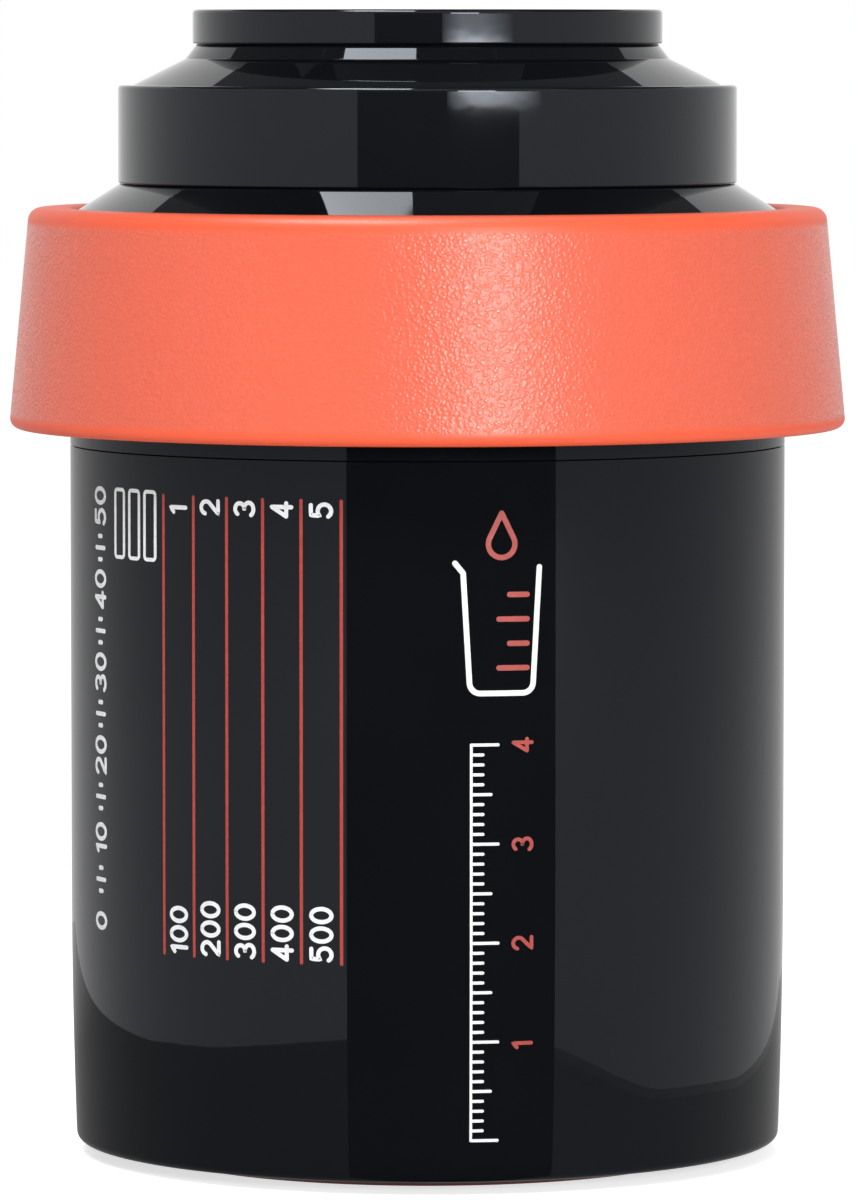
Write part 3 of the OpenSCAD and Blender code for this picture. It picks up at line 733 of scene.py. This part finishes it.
def bounce(degrees):
    """Start on the wall and far end of the camera's level ray mirrored there: d - 2 (d . n) n."""
    a = math.radians(degrees)
    normal = np.array([math.sin(a), -math.cos(a)])
    start = normal * TANK_R * MM
    ray = start - np.array([0.0, CAMERA_Y])
    ray /= np.linalg.norm(ray)
    return start, start + (ray - 2 * (ray @ normal) * normal) * FLAG_FAR


left, left_far = bounce(COLUMN_LEFT)
right, right_far = bounce(COLUMN_RIGHT)
right_up = bounce(COLUMN_RIGHT_UP)[1]
corners = [(*left, FLAG_Z), (*right, FLAG_Z), (*right_far, FLAG_Z), (*left_far, FLAG_Z)]
reflected_only(stage_mesh("front_flag", corners, [[0, 1, 2, 3]], card("flag_dark", FLAG_GLOW)))
corners = [(*left_far, FLAG_Z), (*right_up, FLAG_Z), (*right_up, FLAG_TOP), (*left_far, FLAG_TOP)]
reflected_only(stage_mesh("back_flag", corners, [[0, 1, 2, 3]], card("flag_dim", BACK_FLAG_GLOW)))


# Boards under the object, mirrored in the foot of the wall: heights in millimetres, angles in degrees
BOARD_LEFT = dict(side=-1, least=15.4, step=1.8, step_from=8.0, step_to=40.0, climb=2.7, knee=1.55)
BOARD_RIGHT = dict(side=1, least=9.3, step=6.5, step_from=14.0, step_to=41.0, climb=2.5, knee=1.95)
BOARD_ANGLES = np.linspace(0.0, 80.0, 33)
BOARD_BACK, BOARD_FADE = (0.0, 0.26), (0.08, 0.24)
FLOOR_TONE = 0.55


def mirror_border(side, least, step, step_from, step_to, climb, knee):
    """(angle, height) where a board's mirror image ends on the wall: the least height, plus a smooth step
    t t (3 - 2 t) down from the middle, plus a climb that grows with 1 / cos(angle) past the knee."""
    t = np.clip((step_to - BOARD_ANGLES) / (step_to - step_from), 0, 1)
    spread = 1 / np.cos(np.radians(BOARD_ANGLES))
    heights = least + step * t * t * (3 - 2 * t) + climb * np.maximum(0, spread - knee)
    return list(zip(side * BOARD_ANGLES, heights))


def mirrored_floor(degrees, height):
    """Point of the floor that the camera sees mirrored in the wall at that angle and height: the ray
    d - 2 (d . n) n, followed down to the floor."""
    a = math.radians(degrees)
    lean = 2 * FOOT_DRAW * max(0.0, DRAW_Z - height) / FOOT_DRAW_H ** 2
    normal = np.array([math.sin(a), -math.cos(a), -lean]) / math.hypot(1.0, lean)
    start = np.array([wall_r(height) * math.sin(a), -wall_r(height) * math.cos(a), height]) * MM
    ray = start - np.array([0.0, CAMERA_Y, CAMERA_Z])
    out = ray - 2 * (ray @ normal) * normal
    return (start - out * start[2] / out[2])[:2]


def board_fade(g):
    """From 0 under the object to 1 behind it, where the boards run out into the floor's tone."""
    return g.ramp(g.on_axis("Y"), *BOARD_FADE)


for name, edge, rise, glow, level in (
        ("board_left", BOARD_LEFT, 0.0, 0.245, 0.0004),
        ("board_right", BOARD_RIGHT, 0.0, 0.34, 0.0004),
        ("board_right_border", BOARD_RIGHT, 1.3, 0.43, 0.0002)):
    rim = [mirrored_floor(degrees, height + rise) for degrees, height in mirror_border(**edge)]
    rim += [BOARD_BACK, (0.0, 0.0)]
    tone = card(name, FLOOR_TONE, glow / FLOOR_TONE, board_fade)
    reflected_only(stage_mesh(name, [(x, y, level) for x, y in rim], [list(range(len(rim)))], tone))


# Curved cards: a window to the right, two softboxes over the left and a dark ceiling round them
CARDS_OUT, CARD_STEPS, CEILING_GLOW = 1.1, 12, 0.12
WINDOW_NEAR, WINDOW_FULL, WINDOW_LAST, WINDOW_FAR = 7.0, 16.0, 26.0, 42.0


def window_fade(g):
    """1 in the middle of the window, down to 0 at both upright edges."""
    near, full, last, far = (round_the_object(azimuth, 0.0, CARDS_OUT)[0] for azimuth in (
        WINDOW_NEAR, WINDOW_FULL, WINDOW_LAST, WINDOW_FAR))
    across = g.on_axis("X")
    return g.ramp(across, near, full) * g.ramp(across, far, last)


def curved_card(name, near, far, low, high, material):
    """A card round the object between two azimuths and two elevations."""
    corners = [round_the_object(azimuth, elevation, CARDS_OUT)
               for elevation in (low, high) for azimuth in np.linspace(near, far, CARD_STEPS + 1)]
    faces = [[i, i + 1, i + CARD_STEPS + 2, i + CARD_STEPS + 1] for i in range(CARD_STEPS)]
    reflected_only(stage_mesh(name, corners, faces, material))


for name, low, high, strength in (
        ("window_foot", -0.01, 0.13, 12.0),
        ("window_low", 0.13, 0.82, 19.0),
        ("window_mid", 0.82, 0.90, 10.5),
        ("window_high", 0.90, 1.6, 5.2)):
    curved_card(name, WINDOW_NEAR, WINDOW_FAR, low, high, card(name, strength, 1 / strength, window_fade))
for name, near, far, low, high, strength in (
        ("softbox_low", -60.0, -9.0, 56.0, 64.2, 54.0),
        ("softbox_high", -84.0, -12.0, 64.2, 78.0, 14.0),
        ("ceiling_front", -12.0, 62.0, 66.0, 78.0, CEILING_GLOW),
        ("ceiling_left", -84.0, -60.0, 46.0, 64.2, CEILING_GLOW),
        ("ceiling_back", 62.0, 276.0, 34.0, 78.0, CEILING_GLOW),
        ("ceiling_top", 0.0, 360.0, 78.0, 89.9, CEILING_GLOW)):
    curved_card(name, near, far, low, high, card(name, strength))


# Lamps and camera

def lamp(name, azimuth, elevation, out, size, watts):
    """A soft rectangular lamp round the object that faces its middle."""
    data = bpy.data.lights.new(name, "AREA")
    data.shape = "RECTANGLE"
    data.size, data.size_y = size
    data.energy = watts
    made = bpy.data.objects.new(name, data)
    bpy.context.scene.collection.objects.link(made)
    made.location = round_the_object(azimuth, elevation, out)
    away = np.array(made.location) - MIDDLE
    lean = math.atan2(math.hypot(away[0], away[1]), away[2])
    made.rotation_euler = (lean, 0.0, math.atan2(away[0], -away[1]))
    return made


lamp("key_left", azimuth=-26, elevation=52, out=1.2, size=(0.5, 0.35), watts=6.8).visible_glossy = False
lamp("key_right", azimuth=18, elevation=9, out=1.3, size=(0.31, 0.22), watts=8.7)
lamp("top_soft", azimuth=160, elevation=75, out=1.1, size=(0.4, 0.6), watts=2.0)

camera_data = bpy.data.cameras.new("camera")
camera_data.lens = LENS
camera_data.sensor_width = SENSOR
camera_data.clip_end = SIGHT_END
camera = bpy.data.objects.new("camera", camera_data)
bpy.context.scene.collection.objects.link(camera)
camera.location = (0.0, CAMERA_Y, CAMERA_Z)
camera.rotation_euler = (math.radians(90 - CAMERA_TILT), 0.0, 0.0)
bpy.context.scene.camera = camera
bpy.context.scene.view_settings.view_transform = "Standard"
